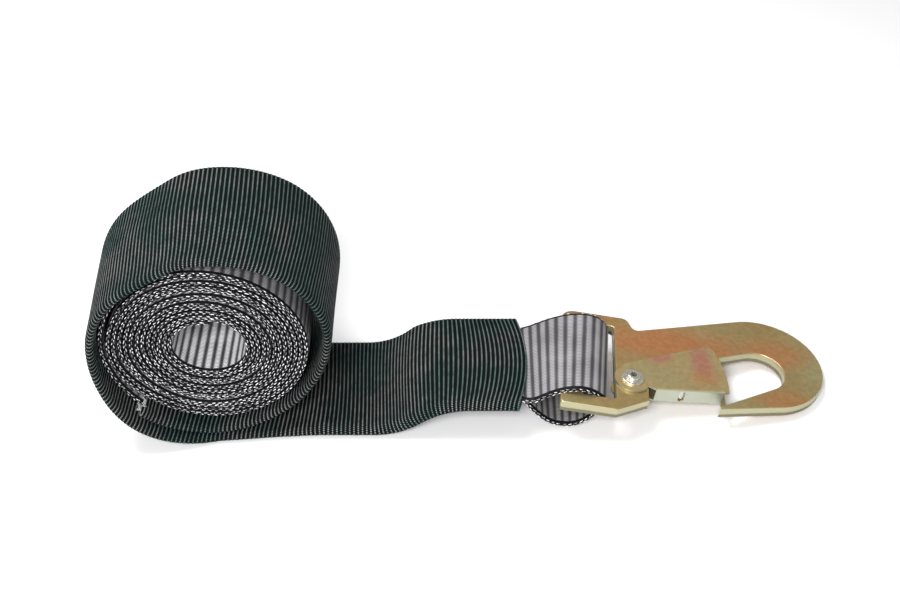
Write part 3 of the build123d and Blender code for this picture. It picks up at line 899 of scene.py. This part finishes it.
def thread_material(name, dark, light):
    """Twisted thread."""
    m = Material(name)
    twist = m.noise(1500.0, 2.0, stretch=(1.0, 0.3, 1.0))
    m.set(Base_Color=m.mix(twist, dark, light), Sheen_Weight=0.2)
    m.set(Roughness=m.math("MULTIPLY_ADD", twist, 0.25, 0.45))
    m.bump(twist, 0.00012, 0.7)
    return m.material


def patch(m, colour, tint, centre, size, strength):
    """A soft-edged stain of another tint at a place on the part."""
    made = m.node("ShaderNodeVectorMath", operation="SUBTRACT")
    m.put(m.place(), made.inputs[0])
    made.inputs[1].default_value = centre
    scaled = m.node("ShaderNodeVectorMath", operation="DIVIDE")
    m.put(made.outputs[0], scaled.inputs[0])
    scaled.inputs[1].default_value = size
    length = m.node("ShaderNodeVectorMath", operation="LENGTH")
    m.put(scaled.outputs[0], length.inputs[0])
    ragged = m.math("MULTIPLY_ADD", m.noise(90.0, 4.0), 0.9, length.outputs["Value"])
    return m.mix(m.math("MULTIPLY", m.ramp(ragged, 2.1, 0.8), strength), colour, tint)


def plate_height(m):
    """Height of a point above the middle of the plate, in millimetres."""
    from_bar = m.node("ShaderNodeVectorMath", operation="SUBTRACT")
    m.put(m.place(), from_bar.inputs[0])
    from_bar.inputs[1].default_value = BAR_PLACE
    height = m.node("ShaderNodeVectorMath", operation="DOT_PRODUCT")
    m.put(from_bar.outputs[0], height.inputs[0])
    height.inputs[1].default_value = PLATE_UP
    return m.math("MULTIPLY", height.outputs["Value"], 1000.0)


def zinc_material(name, patches, wall=PALE_WALL_PAINTED_REFLECTION, olive=OLIVE, shade_line_height=-0.6):
    """Yellow-passivated zinc: olive gold with salmon, pink and green patches.

    The walls square to the plate take a paler tint, partly painted reflection of the front light, with a
    bright rolled rim above and a dark band of painted shade below.
    """
    m = Material(name)
    broad = m.noise(28.0, 4.0)
    fine = m.noise(420.0, 3.0)
    colour = m.mix(m.ramp(broad, 0.35, 0.68), olive, GREEN_GREY)
    for tint, centre, size, strength in patches:
        colour = patch(m, colour, tint, centre, size, strength)
    grain = m.math("MULTIPLY_ADD", fine, 0.5, 0.75)
    shade = m.node("ShaderNodeVectorMath", operation="SCALE")
    m.put(colour, shade.inputs[0])
    m.put(grain, shade.inputs["Scale"])
    normal = m.node("ShaderNodeTexCoord").outputs["Normal"]
    facing = m.node("ShaderNodeVectorMath", operation="DOT_PRODUCT")
    m.put(normal, facing.inputs[0])
    facing.inputs[1].default_value = PLATE_UP
    flat = m.ramp(m.math("ABSOLUTE", facing.outputs["Value"]), 0.35, 0.85)
    scratches = m.noise(900.0, 3.0, stretch=(0.15, 1.0, 1.0))
    # painted shade: a ragged band low on each wall, below the shade line height, turns dark
    ragged = m.math("MULTIPLY_ADD", broad, 0.8, m.math("MULTIPLY_ADD", fine, 0.5, plate_height(m)))
    low_wall_shade = m.ramp(ragged, shade_line_height + 0.9, shade_line_height + 0.3)
    # wall colour: the paler tint, partly painted reflection, darkened by painted shade low down
    edge = m.mix(m.math("MULTIPLY", low_wall_shade, 0.75), wall, LOW_WALL_PAINTED_SHADE)
    m.set(Base_Color=m.mix(flat, edge, shade.outputs[0]), Metallic=0.78)
    m.set(Roughness=m.math("MULTIPLY_ADD", scratches, 0.22, 0.30))
    m.bump(m.math("MULTIPLY_ADD", fine, 0.5, scratches), 0.00006, 0.5)
    return m.material


def bright_material(name, tint, roughness):
    """Bright plated metal with faint tool marks."""
    m = Material(name)
    marks = m.noise(700.0, 3.0)
    m.set(Base_Color=m.mix(marks, tint, BRIGHT_TINT), Metallic=0.92)
    m.set(Roughness=m.math("MULTIPLY_ADD", marks, 0.15, roughness))
    m.bump(marks, 0.00005, 0.5)
    return m.material


def floor_material():
    """Plain pale floor."""
    m = Material("pale_floor")
    soft = m.noise(3.0, 2.0)
    m.set(Base_Color=m.mix(soft, FLOOR_SHADED, FLOOR_PALE), Roughness=0.9)
    m.set(Specular_IOR_Level=0.1)
    return m.material


def dress(piece, material):
    """The only material of a piece."""
    piece.data.materials.clear()
    piece.data.materials.append(material)


# ------------------------------------------------------------------ build the soft pieces
strap_path = webbing_path()
marks = webbing_marks()
tube_path = sleeve_path()
tube_turn = Path(join(*sleeved_turn())).length

webbing = webbing_strap(strap_path, marks)
picks = selvage_picks(strap_path, marks)
sleeve = wear_sleeve(tube_path, tube_turn)
frays = frayed_threads(tube_path)
stitches = lap_stitches()

length_round_section = webbing_section()[2][-1]
dress(webbing, webbing_material(length_round_section))
dress(picks, pick_material())
dress(sleeve, sleeve_material())
dress(frays, thread_material("pale_yarn_ends", FRAY_DARK, FRAY_LIGHT))
dress(stitches, thread_material("black_sewing_thread", STITCH_DARK, STITCH_LIGHT))

for piece in (webbing, picks, sleeve, frays, stitches):
    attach(piece, "strap")
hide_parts("webbing_roll", "webbing_turn", "webbing_run", "webbing_lap", "hook_loop")
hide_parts("wear_sleeve_turn", "wear_sleeve_run")
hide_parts("lap_stitching")

# ------------------------------------------------------------------ the metal parts
hook_low, hook_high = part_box("hook_body")
gate_low, gate_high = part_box("gate")


def within(low, high, x, y):
    """A place inside a box, by its shares along X and Y, at mid height."""
    return (low.x + (high.x - low.x) * x, low.y + (high.y - low.y) * y, (low.z + high.z) / 2)


hook_patches = [
    (SALMON, within(hook_low, hook_high, 0.40, 0.66), (0.040, 0.013, 0.02), 0.95),
    (SALMON, within(hook_low, hook_high, 0.16, 0.93), (0.012, 0.008, 0.02), 0.7),
    (SALMON, within(hook_low, hook_high, 0.83, 0.68), (0.016, 0.010, 0.02), 0.7),
    (SALMON, within(hook_low, hook_high, 0.82, 0.24), (0.012, 0.007, 0.02), 0.6),
    (SALMON, within(hook_low, hook_high, 0.17, 0.18), (0.005, 0.004, 0.02), 0.7),
]
gate_patches = [
    (PINK, within(gate_low, gate_high, 0.43, 0.70), (0.006, 0.005, 0.02), 0.8),
    (PINK, within(gate_low, gate_high, 0.80, 0.66), (0.005, 0.011, 0.02), 0.8),
    (SALMON, within(gate_low, gate_high, 0.80, 0.40), (0.007, 0.006, 0.02), 0.5),
]
materials = {
    "hook_body": zinc_material("yellow_zinc_plate", hook_patches),
    "gate": zinc_material("yellow_zinc_sheet", gate_patches, GATE_WALL_PAINTED_REFLECTION, GATE_OLIVE, -3.9),
    "gate_rivet": bright_material("bright_rivet", RIVET_TINT, 0.16),
    "rivet_washer": bright_material("bright_washer", WASHER_TINT, 0.2),
}
for node, material in materials.items():
    dress(frame["nodes"][node], material)


def leaf_spring():
    """Copy of the hook's strip spring, with every edge cut three times into finer faces."""
    mesh = frame["nodes"]["gate_spring"].data.copy()
    mesh.name = "leaf_spring"
    work = bmesh.new()
    work.from_mesh(mesh)
    bmesh.ops.subdivide_edges(work, edges=work.edges, cuts=3, use_grid_fill=True)
    work.to_mesh(mesh)
    work.free()
    made = bpy.data.objects.new("leaf_spring", mesh)
    bpy.context.scene.collection.objects.link(made)
    return made


spring = leaf_spring()
dress(spring, bright_material("spring_steel", SPRING_TINT, 0.28))
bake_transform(spring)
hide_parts("gate_spring")


# ------------------------------------------------------------------ floor, light and camera
def area_light(name, place, target, size, power):
    """Soft rectangular light aimed at a point."""
    data = bpy.data.lights.new(name, "AREA")
    data.shape = "RECTANGLE"
    data.size, data.size_y = size
    data.energy = power
    light = bpy.data.objects.new(name, data)
    light.location = place
    light.rotation_euler = (Vector(target) - Vector(place)).to_track_quat("-Z", "Y").to_euler()
    bpy.context.scene.collection.objects.link(light)


def stage_floor():
    """Large round floor at the ground."""
    mesh = bpy.data.meshes.new("floor")
    turn = np.arange(64) * 2 * pi / 64
    rim = [(FLOOR_RADIUS * np.cos(t), FLOOR_RADIUS * np.sin(t), FLOOR_HEIGHT) for t in turn]
    mesh.from_pydata(rim, [], [list(range(len(rim)))])
    floor = bpy.data.objects.new("floor", mesh)
    bpy.context.scene.collection.objects.link(floor)
    dress(floor, floor_material())


def studio():
    """White surroundings, a key light in front and above, and a weaker one overhead."""
    world = bpy.data.worlds.new("studio")
    bpy.context.scene.world = world
    world.use_nodes = True
    background = world.node_tree.nodes["Background"]
    background.inputs["Color"].default_value = WHITE
    background.inputs["Strength"].default_value = WORLD_STRENGTH
    area_light("key_light", (-0.08, -0.95, 0.86), (0.08, 0.0, 0.03), (0.45, 0.45), 20.0)
    area_light("top_light", (-0.2, 0.1, 0.95), (0.1, 0.0, 0.03), (0.5, 0.4), 8.0)
    bpy.context.scene.view_settings.view_transform = "Standard"


def place_camera():
    """Camera in front and above, looking at the strap from its side."""
    data = bpy.data.cameras.new("camera")
    data.sensor_width = CAMERA_SENSOR
    data.lens = CAMERA_LENS
    camera = bpy.data.objects.new("camera", data)
    back = Vector((0.0, -np.cos(CAMERA_ELEVATION), np.sin(CAMERA_ELEVATION)))
    camera.location = CAMERA_TARGET + back * CAMERA_DISTANCE
    camera.rotation_euler = (-back).to_track_quat("-Z", "Y").to_euler()
    bpy.context.scene.collection.objects.link(camera)
    bpy.context.scene.camera = camera


stage_floor()
studio()
place_camera()
